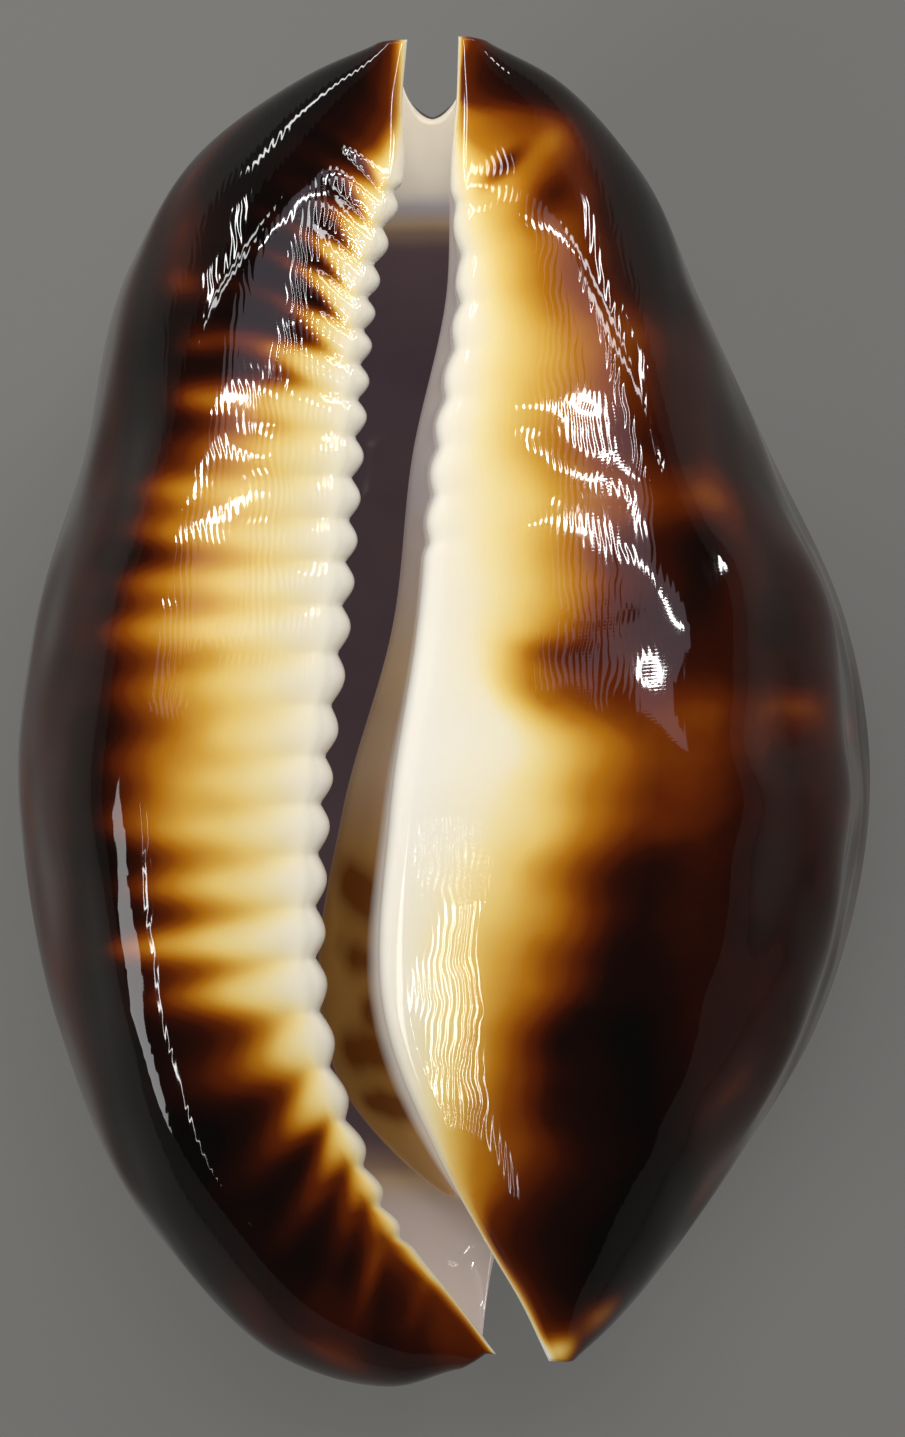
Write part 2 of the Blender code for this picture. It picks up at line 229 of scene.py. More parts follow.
def quarter(pole, side, tau, lean):
    """Quarter super-ellipse: sine and cosine of tau, both divided by the power-mean
    of the pair, carry the point from the pole to the side; the step along the shell
    follows that sine raised to lean, so a high lean swings out late."""
    s, c = np.sin(tau)[None], np.cos(tau)[None]
    k = (s**POWER + c**POWER)**(-1/POWER)
    s, c = s*k, c*k
    return np.stack([pole[:, :1] + (side[:, :1] - pole[:, :1])*s,
                     pole[:, 1:2] + (side[:, 1:2] - pole[:, 1:2])*s**lean,
                     side[:, 2:] + (pole[:, 2:] - side[:, 2:])*c], -1)


def base_curve(pole, side, tau, crest, shoulder):
    """A quarter whose pole is raised by the shoulder share of its height, cut off by
    a plateau with an arch of height crest: the height is the soft minimum of the two,
    b - k ln(1 + e^((b - a)/k)), which rounds the shoulder where they meet."""
    spare = shoulder*(pole[:, 2:] - side[:, 2:])
    tall = pole + spare*np.array([0, 0, 1.0])
    curve = quarter(tall, side, tau, 1)
    out = (curve[..., 0] - curve[:, :1, 0])/(curve[:, -1:, 0] - curve[:, :1, 0])
    over = curve[..., 2] - pole[:, 2:] - crest*np.sin(np.pi*out/ARCH)
    soft = SHOULDER_ROUND*spare + LEAST_ROUND
    curve[..., 2] -= soft*np.logaddexp(0, over/soft)
    return curve, out


def run_out(rows):
    """Length along each row from its first point: the running sum of its steps."""
    step = np.linalg.norm(np.diff(rows, axis=1), axis=2)
    return np.concatenate([np.zeros((len(rows), 1)), np.cumsum(step, 1)], 1)


def lip_wall(lip, pole, depth, soft, way, turn):
    """Half an ellipse from the top of a lip round its edge to its underside."""
    x = pole[:, :1] + way*soft*np.cos(turn)
    z = pole[:, 2:] - depth/2 + depth/2*np.sin(turn)
    return np.stack([x, np.repeat(lip[:, 1:2], len(turn), 1), z], -1)


# %% Rings from rail to rail
AROUND_BASE, AROUND_BACK, AROUND_LIP = 40, 16, 8
# how the base's points are spread between lip and margin, and how those of the back
# crowd towards its middle
BASE_SHARE, BASE_TURN = (0, .3, .45, .85, 1), (0, .16, .36, .76, 1)
BACK_CROWD = 1.25
BACK_LEAN, FLOOR_LEAN = 1.5, 2.6
RINGS, FIRST_RING = 374, .004
# lip, margin, margin of the hollow, and the way in which x grows towards the slit
SIDES = {"t": ("toothed_lip", "margin_toothed", "inside_toothed", 1),
         "s": ("smooth_lip", "margin_smooth", "inside_smooth", -1)}

share = np.concatenate([[0], np.linspace(FIRST_RING, 1 - FIRST_RING, RINGS), [1]])
rail = {name: station_curve(share, table) for name, table in RAILS.items()}
lip_depth, lip_round = station_curve(share, LIP_DEPTH), station_curve(share, LIP_ROUND)
crest, shoulder = station_curve(share, BASE_CREST), station_curve(share, SHOULDER)
base_turn = np.interp(np.linspace(0, 1, AROUND_BASE + 1), BASE_SHARE, BASE_TURN)*np.pi/2
back_turn = np.linspace(0, 1, AROUND_BACK + 1)**BACK_CROWD*np.pi/2
lip_turn = np.radians(np.linspace(90, -90, 2*AROUND_LIP + 1))
part, out = {}, {}
for side, (lip, margin, inside, way) in SIDES.items():
    top = rail[lip] - way*lip_round*np.array([1.0, 0, 0])
    under = top - lip_depth*np.array([0, 0, 1.0])
    part["base_" + side], out[side] = base_curve(top, rail[margin], base_turn, crest, shoulder)
    part["back_" + side] = quarter(rail["back"], rail[margin], back_turn, BACK_LEAN)
    part["in_" + side] = quarter(under, rail[inside], base_turn, 1)
    part["floor_" + side] = quarter(rail["inside_back"], rail[inside], back_turn, FLOOR_LEAN)
    part["wall_" + side] = lip_wall(rail[lip], top, lip_depth, lip_round, way, lip_turn)
print("stretches of a ring:", len(part))

# %% [markdown]
# ## The ridge, the shoulders and the rolled inner whorl
#
# Along the smooth side the enamel of the base ends in a callus, a low ridge with a
# hollow outside it, beyond which the dark back swells out. Both shoulders also sway
# in and out a little along the shell. Under the smooth lip the inner whorl rolls
# into view, an egg-shaped swelling that nearly fills the slit towards the hind end.
# All three are added to the rings as shifts of their points.

# %% Ridge and sway of the shoulders
# height of the ridge and depth of the hollow, and the share of the way out to the
# margin and half-width there of the ridge, the hollow and the shoulder
RIDGE, HOLLOW = .5, .65
RIDGE_AT, HOLLOW_AT, SHOULDER_AT = (.9, .05), (.975, .03), (.82, .16)
RIDGE_HIND_Y, RIDGE_FORE_Y = (-27, -18), (16, 7)
# place along the slit, and how far the shoulder stands out of its smooth run there
TOOTHED_SWAY = ((-26, 0), (-21, .3), (-16, .8), (-10, .9), (-5, .3), (3, .2), (8, .35), (14, .8),
                (20, .1), (25, 0))
SMOOTH_SWAY = ((-14, 0), (-8.5, -.5), (-5, -.4), (-1.3, -1.1), (2, -.6), (6, -.1), (8.7, -.2),
               (10.8, -.7), (13, -.9), (17, -.7), (21, -.4), (25, 0))


def callus(y, out):
    """Shift outward at a share out of the way to the margin: a bell at the ridge less
    a narrower bell just outside it, both faded in and out along the shell."""
    strength = eased(y, *RIDGE_HIND_Y)*eased(y, *RIDGE_FORE_Y)
    return strength*(RIDGE*bell(out, *RIDGE_AT) - HOLLOW*bell(out, *HOLLOW_AT))


def sway(y, out, table):
    """Shift of the shoulder: the table's value at y, times a bell over the share out."""
    return curve_through(y, table)[..., 0]*bell(out, *SHOULDER_AT)


y_t, y_s = rail["toothed_lip"][:, 1:2], rail["smooth_lip"][:, 1:2]
part["base_s"][..., 0] += callus(y_s, out["s"]) + sway(y_s, out["s"], SMOOTH_SWAY)
part["base_t"][..., 0] += sway(y_t, out["t"], TOOTHED_SWAY)
far_t, far_s = run_out(part["base_t"]), run_out(part["base_s"])
print("from lip to margin:", far_t.max().round(1), "and", far_s.max().round(1), "mm at most")

# %% Teeth, ribs and folds
TOOTH_DEPTH, RIB_DEPTH = .62, .17
# most of a rib's depth is gone at the first distance from the lip, the rest at the second
RIB_NEAR, RIB_REACH = 3.6, 8
NEAR_SHARE, REACH_SHARE = .9, .1
# depth that a rib has at the lip itself, and the distance at which it has all of it
RIB_START, RIB_FULL = .6, .8
FOLD_DEPTH, FOLD_REACH, FOLD_SINK = .34, 1.5, .2

count = tooth_count(y_t - fan(y_t, far_t), TOOTHED_LIP_TEETH)
rib_dip = groove(count, len(TOOTHED_LIP_TEETH))
tooth_dip = rib_dip[:, :1]
fade = NEAR_SHARE*(1 - ease(far_t/RIB_NEAR)) + REACH_SHARE*(1 - ease(far_t/RIB_REACH))
rise = RIB_START + (1 - RIB_START)*ease(far_t/RIB_FULL)
part["base_t"][..., 2] -= RIB_DEPTH*rib_dip*fade*rise
part["wall_t"][..., 0] -= TOOTH_DEPTH*tooth_dip*np.cos(lip_turn)
part["wall_t"][..., 2] -= RIB_DEPTH*tooth_dip*RIB_START*ease(np.sin(lip_turn))
fold_dip = groove(tooth_count(y_s, SMOOTH_LIP_TEETH), len(SMOOTH_LIP_TEETH))
part["base_s"][..., 2] -= FOLD_DEPTH*fold_dip*(1 - ease(far_s/FOLD_REACH))*FOLD_SINK
part["wall_s"][..., 0] += FOLD_DEPTH*fold_dip*np.cos(lip_turn)
part["wall_s"][..., 2] -= FOLD_DEPTH*fold_dip*FOLD_SINK*ease(np.sin(lip_turn))
print("depths in mm:", TOOTH_DEPTH, RIB_DEPTH, FOLD_DEPTH)

# %% The inner whorl
# at the twelve stations: how far it shows past the lip, and its radius
WHORL_SHOW = (0, 0, 2.2, 4, 3.9, 2.9, 1.5, 1.15, .5, 0, 0, 0)
WHORL_RADIUS = (0, 2.5, 5.5, 7.2, 7.6, 7, 5.5, 4.1, 2.8, 1.4, 0, 0)
# where its blunt hind end begins and how long that is; how deep its middle lies, in
# radii, and the radius below which it fades
WHORL_BLUNT_Y, WHORL_BLUNT = -20, 9.2
WHORL_SUNK, WHORL_LEAST = .75, 1.6
# degrees at which it starts and through which it turns, and how its points crowd there
WHORL_FROM, WHORL_TURN, WHORL_CROWD = 150, 235, 1.6
# share of the path that it takes up, and shares of that for setting out and closing in
WHORL_PATH, WHORL_OUT, WHORL_IN = .745, .15, .27


def whorl(lip, depth, path, v):
    """The path from the smooth lip's edge into the hollow, carried out on to a
    circle that starts under the lip and turns past the bottom; returns the path
    and how far each of its points was carried, 0 to 1."""
    blunt = np.sqrt(1 - np.clip((WHORL_BLUNT_Y - lip[:, 1:2])/WHORL_BLUNT, 0, 1)**2)
    show = station_curve(v, WHORL_SHOW)*blunt
    radius = station_curve(v, WHORL_RADIUS)*blunt
    j = np.arange(path.shape[1])
    last = round(WHORL_PATH*len(j))
    turn = np.radians(WHORL_FROM + WHORL_TURN*np.clip(j/(last - 1), 0, 1)**WHORL_CROWD)
    egg = np.stack([lip[:, :1] - show + radius + radius*np.cos(turn), path[..., 1],
                    lip[:, 2:] - depth - WHORL_SUNK*radius + radius*np.sin(turn)], -1)
    near, far = j/(WHORL_OUT*last), (last - j)/(WHORL_IN*last)
    carried = ease(np.minimum(near, far))[None]*ease(radius/WHORL_LEAST)
    return path*(1 - carried[..., None]) + egg*carried[..., None], carried


path = np.concatenate([part["wall_s"][:, AROUND_LIP:], part["in_s"][:, 1:]], 1)
path, carried = whorl(rail["smooth_lip"], lip_depth, path, share)
part["wall_s"] = np.concatenate([part["wall_s"][:, :AROUND_LIP], path[:, :AROUND_LIP + 1]], 1)
part["in_s"] = path[:, AROUND_LIP:]
carried_wall = np.pad(carried[:, :AROUND_LIP + 1], ((0, 0), (AROUND_LIP, 0)))
print("widest part of the whorl:", 2*max(WHORL_RADIUS), "mm")

# %% [markdown]
# ## One ring after another
#
# The ten stretches are strung together, toothed base, back, smooth base, smooth
# lip, hollow and toothed lip, for all rings at once, as one array of stations by
# points around. What the colours need to know about each point is strung the same
# way: how far it is from the lip's edge, between which teeth, and on which part of
# the shell.

# %% Rings and their fields
# the stretches in their order, and which points of each are strung: those that two of
# them share are left out once
WHOLE, ONWARD, BACKWARD = slice(None), slice(1, None), slice(-2, None, -1)
STRETCHES = {"base_t": WHOLE, "back_t": BACKWARD, "back_s": ONWARD, "base_s": BACKWARD,
             "wall_s": slice(1, -1), "in_s": WHOLE, "floor_s": BACKWARD, "floor_t": ONWARD,
             "in_t": BACKWARD, "wall_t": slice(-2, 0, -1)}
# turn from the back's middle at which its mottling ends, turn under a lip's edge past
# which all is lining, and how much sooner than that the whorl is
BACK_EDGE, UNDER_LIP, WHORL_EDGE = 1.45, .9, 4


def strung(stretch):
    """The ten stretches end to end, each in its own direction."""
    return np.concatenate([stretch[name][:, points] for name, points in STRETCHES.items()], 1)


def field_of(**given):
    """A field on all rings: the value given for a stretch there, and 0 on the others."""
    return strung({name: given.get(name, 0) + np.zeros(part[name].shape[:2]) for name in STRETCHES})


def lip_value(axis):
    """The nearer lip's x or y, the same all along each of the ten stretches."""
    of_side = {side: rail[lip][:, axis:axis + 1] for side, (lip, *_) in SIDES.items()}
    return field_of(**{name: of_side[name[-1]] for name in STRETCHES})


over_lip = lip_round*np.where(lip_turn > 0, 1 - np.cos(lip_turn), 0)
under_lip = ease(-lip_turn/UNDER_LIP)
on_back = 1 - ease(back_turn/BACK_EDGE)
fields = {
    "toothed": field_of(base_t=1, back_t=1, wall_t=1, in_t=1, floor_t=1),
    "from_lip": field_of(base_t=lip_round + far_t, back_t=lip_round + far_t[:, -1:], wall_t=over_lip,
                         base_s=lip_round + far_s, back_s=lip_round + far_s[:, -1:], wall_s=over_lip),
    "count": field_of(base_t=count, back_t=count[:, -1:], wall_t=count[:, :1]),
    "lip_x": lip_value(0),
    "station_y": lip_value(1),
    "lining": field_of(in_t=1, floor_t=1, wall_t=under_lip, in_s=1, floor_s=1,
                       wall_s=np.maximum(under_lip, ease(WHORL_EDGE*carried_wall))),
    "whorl": field_of(wall_s=carried_wall, in_s=carried[:, AROUND_LIP:]),
    "back": field_of(back_t=on_back, back_s=on_back),
}
ring = strung(part)
print("rings:", ring.shape[0], "of", ring.shape[1], "points")

# %% [markdown]
# ## Closing the ends
#
# At each end the sheet stops in a thin edge, which is what leaves the notches. A
# real edge is rounded, so a few more rows are drawn there: each point closes on the
# point across the thickness from it, and moves outward as it does, along a quarter
# circle. A flat cap would be simpler but would catch the light like a saw cut.

# %% Surface of the whole shell
END_ROUND, END_ROWS = .38, 5
# how much is cut off the lowest point of the back, as the flat that the shell lies on
REST_CUT = .22


def fold_map(n, w):
    """For each point of a ring, its number on the middle line between outside and
    hollow; n points across the outside and w steps round each lip."""
    half = w//2
    lip = np.minimum(np.arange(1, w), w - np.arange(1, w))
    return np.concatenate([half + np.arange(n), half + n - 1 + lip,
                           half + np.arange(n)[::-1], (half - lip)[::-1]])


def middle_line(points, fold):
    """Mean of the points that share a number on the middle line."""
    total = np.zeros((fold.max() + 1, 3))
    np.add.at(total, fold, points)
    return (total/np.bincount(fold)[:, None])[fold]


def end_rows(edge, inward, fold):
    """Rows that close an end: middle + (edge - middle) cos a + outward sin a."""
    middle = middle_line(edge, fold)
    away = middle_line(edge - inward, fold)
    away /= np.linalg.norm(away, axis=1, keepdims=True)
    a = np.linspace(0, np.pi/2, END_ROWS + 1)[1:, None, None]
    return middle + (edge - middle)*np.cos(a) + END_ROUND*away*np.sin(a)


fold = fold_map(2*(AROUND_BASE + AROUND_BACK) + 1, 2*AROUND_LIP)
ring[..., 2] = np.maximum(ring[..., 2], ring[..., 2].min() + REST_CUT)
grid = np.concatenate([end_rows(ring[0], ring[1], fold)[::-1], ring,
                       end_rows(ring[-1], ring[-2], fold)])
fields = {key: np.pad(value, ((END_ROWS, END_ROWS), (0, 0)), "edge") for key, value in fields.items()}
low, high = grid.reshape(-1, 3).min(0), grid.reshape(-1, 3).max(0)
to_size = (shell_high.y - shell_low.y)/(high[1] - low[1])
place = np.array([-(low[0] + high[0])/2, -(low[1] + high[1])/2, -low[2]])

# %% [markdown]
# ## The colours as fields
#
# The shell's enamel carries brown pigment, thin and cream at the slit, and dense
# to black at the margins. So one number, the pigment, says nearly everything, and
# a single colour ramp turns it into cream, amber, rust and black. Tables give how
# far from the lip the pigment passes each of five tones, at some places along the
# slit. On the ribs it stays back, and in the grooves it reaches forward, as flames
# at both ends of the shell and as soft bands between. Last come some spots with
# more or less of it, placed on the surface as if it were unrolled from the lip.
# Painting all this by hand would need a picture; here it is a few curves.

# %% How far the pigment keeps from the slit
TONES = (.1, .3, .5, .7, .9)
# place along the slit, then how far from the lip the pigment passes each of the tones
RIB_LINES = (
    (-39, .1, .15, .2, .5, 6), (-34, .1, .2, .4, .9, 5), (-29, .3, .8, 1.6, 2.8, 6.5),
    (-24, .8, 1.9, 3.3, 4.6, 7.5), (-19.6, 1.4, 3.3, 4.8, 7, 10.6), (-15, 2.5, 5.8, 8.4, 10.4, 12.4),
    (-6, 2.6, 6.8, 10, 12.2, 14.2), (4, 3.2, 7.6, 10.6, 12.8, 15), (12, 2.4, 7, 10.4, 12.6, 15),
    (16.5, 2, 5.8, 8.4, 11, 14), (19.5, 1.8, 4.2, 5.8, 7.4, 10.5), (22, 1.7, 3.4, 4.6, 5.8, 8.6),
    (27, 1.4, 2.9, 3.9, 4.9, 7.2), (31, .9, 2, 2.9, 3.8, 5.6), (34, .1, .4, .8, 1.4, 3.6),
    (40, .1, .3, .5, .9, 2.5))
GROOVE_LINES = (
    (-39, .1, .15, .2, .4, 4), (-34, .1, .2, .3, .6, 3), (-29, .2, .5, .8, 1.3, 3),
    (-24, .5, 1.1, 1.7, 2.4, 3.8), (-19.6, .9, 2, 3.1, 4.6, 7.6), (-15, 1.6, 3.6, 5.8, 8.2, 10.8),
    (-6, 1.9, 5.2, 9.2, 11.6, 13.6), (4, 2.2, 6.2, 10, 12.3, 14.6), (12, 1.8, 5.4, 9.2, 11.6, 14),
    (17, 1.5, 3.8, 5.6, 7.8, 10.8), (19.5, 1.3, 2.6, 3.6, 4.8, 7), (22, 1.1, 2.1, 2.8, 3.5, 4.8),
    (27, .8, 1.6, 2.1, 2.6, 3.6), (31, .5, 1.1, 1.6, 2.2, 3.4), (34, .1, .3, .6, 1, 2.6),
    (40, .1, .3, .5, .8, 2))
SMOOTH_LINES = (
    (-38, .1, .2, .3, .6, 3), (-34, .1, .2, .4, .8, 3.5), (-30.3, .1, .2, .4, .9, 4.7),
    (-26.8, .2, .5, 1.7, 4.6, 7.5), (-22.2, .8, 2.5, 4.8, 7.1, 8.9), (-17.6, 2.2, 5, 7.6, 9.8, 11.5),
    (-13.5, 2.4, 5.4, 9.2, 11.7, 13.9), (-9.5, 3.6, 8, 10.7, 12.9, 15.5), (-6, 5.2, 9.3, 11.6, 14.6, 20),
    (-1.4, 6.2, 8.2, 10.5, 14, 24), (2.8, 3.8, 5.3, 7, 10, 17), (5.2, 3.4, 6, 9, 11.2, 15.8),
    (9, 2.6, 5.8, 8.6, 10.9, 16), (11.8, 2.2, 6, 9, 14, 19), (16, 2.1, 4.5, 7.5, 10.3, 16),
    (20.5, 1.7, 4, 6.9, 11, 15.5), (26.2, 1.1, 2.8, 5, 8.3, 11.2), (31, .4, 1.6, 4.1, 7.6, 10),
    (34.3, .1, .2, .6, 5.5, 8.5), (35.6, .1, .15, .3, 1.2, 4), (40, .1, .15, .3, .8, 3))
# past the last tone's distance the pigment gets to 1 at so many times that, plus so much
LAST_TIMES, LAST_PLUS = 1.25, 1.5
LEAST_STEP = .05


def pigment_from(far, reach):
    """Pigment at a distance from the lip: it climbs from tone to tone between the
    distances in reach, and gets to 1 a little past the last."""
    reach = np.maximum.accumulate(np.maximum(reach, LEAST_STEP), -1)
    reach = np.concatenate([0*reach[..., :1], reach, LAST_TIMES*reach[..., -1:] + LAST_PLUS], -1)
    step = np.maximum(np.diff(reach, axis=-1), LEAST_STEP)
    climbed = np.clip((far[..., None] - reach[..., :-1])/step, 0, 1)
    return (climbed*np.diff((0,) + TONES + (1,))).sum(-1)


print("pigment lines at", len(RIB_LINES), "and", len(SMOOTH_LINES), "places")

# %% Pigment of the two sides
# by what share ribs and grooves differ less near the hind end, and the counts of teeth
# between which they start to do so, first differ and cease to differ
CALM, CALM_COUNT = .65, (21, 23.5)
FIRST_TOOTH, LAST_TOOTH = (-.1, .5), (25.2, 24.4)
# out on the flanks the pigment is a little thinner again
FLANK_FADE, FLANK = .13, (14, 19)


def waver(*waves):
    """1 and some sines, each with a height, the place along it, a rate and a start."""
    return 1 + sum(height*np.sin(rate*at + start) for height, at, rate, start in waves)


x, y, far = grid[..., 0], grid[..., 1], np.maximum(fields["from_lip"], 0)
count = fields["count"]
on_toothed = fields["toothed"] > .5
calm = CALM*eased(count, *CALM_COUNT)
in_groove = calm/2 + (1 - calm)*(.5 - .5*np.cos(2*np.pi*count))*eased(count, *FIRST_TOOTH)
in_groove = in_groove*eased(count, *LAST_TOOTH)
rib_reach, groove_reach, smooth_reach = (curve_through(fields["station_y"], table)
                                         for table in (RIB_LINES, GROOVE_LINES, SMOOTH_LINES))
toothed_reach = rib_reach + (groove_reach - rib_reach)*in_groove[..., None]
uneven = waver((.06, count, 2.1, 1), (.05, count, 5.3, 0), (.03, y, .9, 2))
wander = waver((.04, y, .55, 0), (.03, y, 1.3, 1))
pigment = np.where(on_toothed, pigment_from(far/uneven, toothed_reach),
                   pigment_from(far*wander, smooth_reach))
pigment = pigment*(1 - FLANK_FADE*eased(far, *FLANK))
print("pigment before the spots:", pigment.mean().round(3))

# %% Spots and the hind tip
# spots of more or less pigment: place across the unrolled surface, y, half-lengths,
# turn in degrees and strength
SPOTS = (
    (3.4, 32, 1.5, .5, 43, .28), (6.2, 30.3, 1.8, 1.1, 50, .2), (6.5, 33.8, 1.5, 1, 30, -.12),
    (17.3, 12.8, 3, 1.7, 0, -.16), (15.6, 8.6, 1.6, 2.6, 0, .1), (16.5, .2, 4.8, 1.6, -3, -.1),
    (23.4, .3, 3.4, 1, 0, -.22), (23.5, -2.9, 3.2, 1.3, 0, .12), (33, -.9, 3, .9, 0, -.36),
    (30.3, -6.3, 2.6, .8, 0, -.3), (6.3, 3.4, 2.6, .8, -8, .1), (18.3, -22.4, 2.8, .9, 38, -.17),
    (17.9, -28.6, 3.4, .8, 52, -.2), (10.2, -35.9, 2.4, 1.3, 25, -.45), (6.9, -38, 1.4, .9, 20, -.4),
    (-15.8, 25, 2.6, 1.1, -8, -.2), (-17, 28.5, 2.6, 3.4, 0, -.22), (-15.7, 34, 5.5, 1.1, 46, -.2),
    (-5.4, -34, 3.4, .7, 57, -.16), (-2.6, -35.6, 2.6, .6, 52, -.12), (-10.6, -38, 2.8, 1, -18, -.34),
    (-12.5, 17.5, 3, 1, -6, -.12), (-14.6, 21.4, 2, .8, 0, -.22),
    (-14.8, 18.2, 2, .9, 0, -.18), (-17, 6, 2, 3, 0, -.06))
# where the toothed side's hind tip turns evenly dark, how far it does, and its pigment
TIP_Y, TIP_FAR = (-32, -36), (.6, 1.8)
TIP_SHARE, TIP_PIGMENT, TIP_BANDS = .6, .8, .08


def patch(x, y, spot):
    """A bell exp(-r^2) over a turned ellipse, times the spot's strength."""
    cx, cy, rx, ry, turn, strength = spot
    c, s = np.cos(np.radians(turn)), np.sin(np.radians(turn))
    u, w = ((x - cx)*c + (y - cy)*s)/rx, (-(x - cx)*s + (y - cy)*c)/ry
    return strength*np.exp(-u*u - w*w)


on_base = 1 - fields["back"]
unrolled = fields["lip_x"] + np.where(on_toothed, -far, far)
pigment = pigment + sum(patch(unrolled, y, spot) for spot in SPOTS)*on_base
hind_tip = TIP_SHARE*eased(y, *TIP_Y)*eased(far, *TIP_FAR)*fields["toothed"]*on_base
banded = TIP_PIGMENT + TIP_BANDS*np.sin(1.1*far + .6*y)
pigment = np.clip(pigment + hind_tip*(banded - pigment), 0, 1)
pigment = pigment*(1 - fields["lining"])
print("pigment of the outside:", pigment[fields["lining"] < .5].mean().round(3))

# %% [markdown]
# ## The lining as a field
#
# The hollow is lined with thinner, duller enamel: cream where it comes up to the
# lips and lies open in the two channels, mauve-brown in the deep, and on the inner
# whorl a sandy ground that pales towards the front end, with olive-brown stains.
# Over this the lining is darkened as painted shade: the deeper it lies the darker,
# it is darker under the toothed lip, and the hind channel is greyer than the front
# one and darkens towards its inner end.

# %% Tone of the lining
# stains of the inner whorl: x, y and half-lengths
STAINS = (
    (-5.7, -10.3, .8, 1.7), (-4.3, -11.2, 1, 1.9), (-5.8, -14.4, .6, 1.4), (-4.3, -14.8, .9, 1.1),
    (-5.5, -20.2, .8, 1.4), (-3.6, -20.2, 1.2, 1.3), (-4.6, -17.8, .5, 1.2), (-2.8, -23.6, 1.1, 1),
    (-4.3, -23.2, .7, .8))
STAIN_TURN, STAIN_STRENGTH = 8, 1.2
WHORL_TONE_Y, WHORL_TONE = (-29, -24, -12, 0, 8, 14), (.52, .4, .44, .48, .7, .8)
WHORL_RIM = 9
# tones of the deep, darkened as painted shade the lower it lies between the two
# heights, of the two open channels, the hind one greyed as painted shade, and of what
# lies near the slit, held darker under the toothed lip as painted shade, and the
# places between which each of them comes in
DEEP_SHADED_TONE, DEPTH_SHADE_RISE, DEPTH_SHADE_Z = .04, .1, (12, 27)
FORE_TONE, FORE_CHANNEL_Y = .97, (27.2, 32.2)
HIND_SHADED_TONE, HIND_CHANNEL_Y = .7, (-24.5, -30.5)
SHALLOW_TONE, SHALLOW_Z = .95, (37, 41)
SHALLOW_HIND, SHALLOW_HIND_Y, TOOTHED_UNDERSIDE_SHADE = .38, (-23, -27), .7
LEAST_OLIVE, OLIVE_Y = .25, (-2, -10)

z = grid[..., 2]
on_whorl = ease(fields["whorl"]*WHORL_RIM)
# near the slit the lining is pale; under the toothed lip it is held darker as painted shade
shallow = (eased(z, *SHALLOW_Z)*(1 - SHALLOW_HIND*eased(y, *SHALLOW_HIND_Y))
           * (1 - TOOTHED_UNDERSIDE_SHADE*fields["toothed"]))
# painted shade: the lining's tone falls the deeper it lies
tone = DEEP_SHADED_TONE + DEPTH_SHADE_RISE*eased(z, *DEPTH_SHADE_Z)
tone = np.maximum(tone, FORE_TONE*eased(y, *FORE_CHANNEL_Y))
# painted shade: the hind channel is greyed, and darkens towards its inner end
tone = np.maximum(tone, HIND_SHADED_TONE*eased(y, *HIND_CHANNEL_Y))
tone = tone*(1 - on_whorl) + np.interp(y, WHORL_TONE_Y, WHORL_TONE)*on_whorl
tone = np.maximum(tone, shallow*SHALLOW_TONE*(1 - on_whorl))
stains = on_whorl*sum(patch(x, y, (*stain, STAIN_TURN, STAIN_STRENGTH)) for stain in STAINS)
olive = on_whorl*(LEAST_OLIVE + (1 - LEAST_OLIVE)*eased(y, *OLIVE_Y))
print("lining tone from", tone.min().round(2), "to", tone.max().round(2))

# %% Fields of the mottling and the relief
MOTTLED_FLANK, MOTTLED_FAR = .4, (16, 21)
# the comb of fine ripples: where it sets in, where and by what share it is weaker on
# the flanks, and what is left of it in the hind half
COMB_FAR, COMB_FLANK_FAR, COMB_FLANK = (.8, 2.6), (11, 15), .8
COMB_HIND, COMB_Y = .26, (-4, 6)
# the long waves get deeper towards the flanks, in two steps
DEEPER, DEEPER_FAR = 2.2, (10, 15)
DEEPEST, DEEPEST_FAR = 1.8, (15, 19)

mottled = np.maximum(fields["back"], MOTTLED_FLANK*eased(far, *MOTTLED_FAR))
combed = eased(far, *COMB_FAR)*(1 - COMB_FLANK*eased(far, *COMB_FLANK_FAR))*on_base
combed = combed*(COMB_HIND + (1 - COMB_HIND)*eased(y, *COMB_Y))*(1 - fields["lining"])
wavy = 1 + DEEPER*eased(far, *DEEPER_FAR) + DEEPEST*eased(far, *DEEPEST_FAR)
values = {"pigment": pigment, "lining": fields["lining"], "tone": tone, "stains": stains, "olive": olive,
          "mottled": mottled, "combed": combed, "wavy": wavy}
print("waves up to", wavy.max().round(1), "times as deep")

# %% [markdown]
# ## The mesh
#
# The grid of points becomes a mesh of four-sided faces in one call, and each field
# goes on to it as an attribute, one number a corner point, which the material reads.
# The outermost row at each end folds on to itself, so its doubles are merged.

# %% Helpers for a mesh from a grid
def band_faces(rows, around):
    """Four-sided faces between neighbouring rows of a grid that closes on itself."""
    here = np.arange(rows*around).reshape(rows, around)
    after = np.roll(here, -1, 1)
    return np.stack([here[:-1], after[:-1], after[1:], here[1:]], -1).reshape(-1, 4)


def join_folds(quads, fold, rows, around):
    """Faces with the end rows' points renumbered, so that two points that fold on to
    one place are one point."""
    number = np.arange(rows*around)
    first = np.full(fold.max() + 1, rows*around)
    np.minimum.at(first, fold, np.arange(around))
    number[:around] = first[fold]
    number[-around:] = (rows - 1)*around + first[fold]
    return number[quads]


def surface_object(name, points, quads, values):
    """A mesh object at the origin from points in metres, faces, and named fields."""
    mesh = bpy.data.meshes.new(name)
    mesh.from_pydata(points.tolist(), [], quads.tolist())
    for key, value in values.items():
        layer = mesh.attributes.new(key, "FLOAT", "POINT")
        layer.data.foreach_set("value", np.ascontiguousarray(value, np.float32).ravel())
    made = bpy.data.objects.new(name, mesh)
    bpy.context.scene.collection.objects.link(made)
    return made


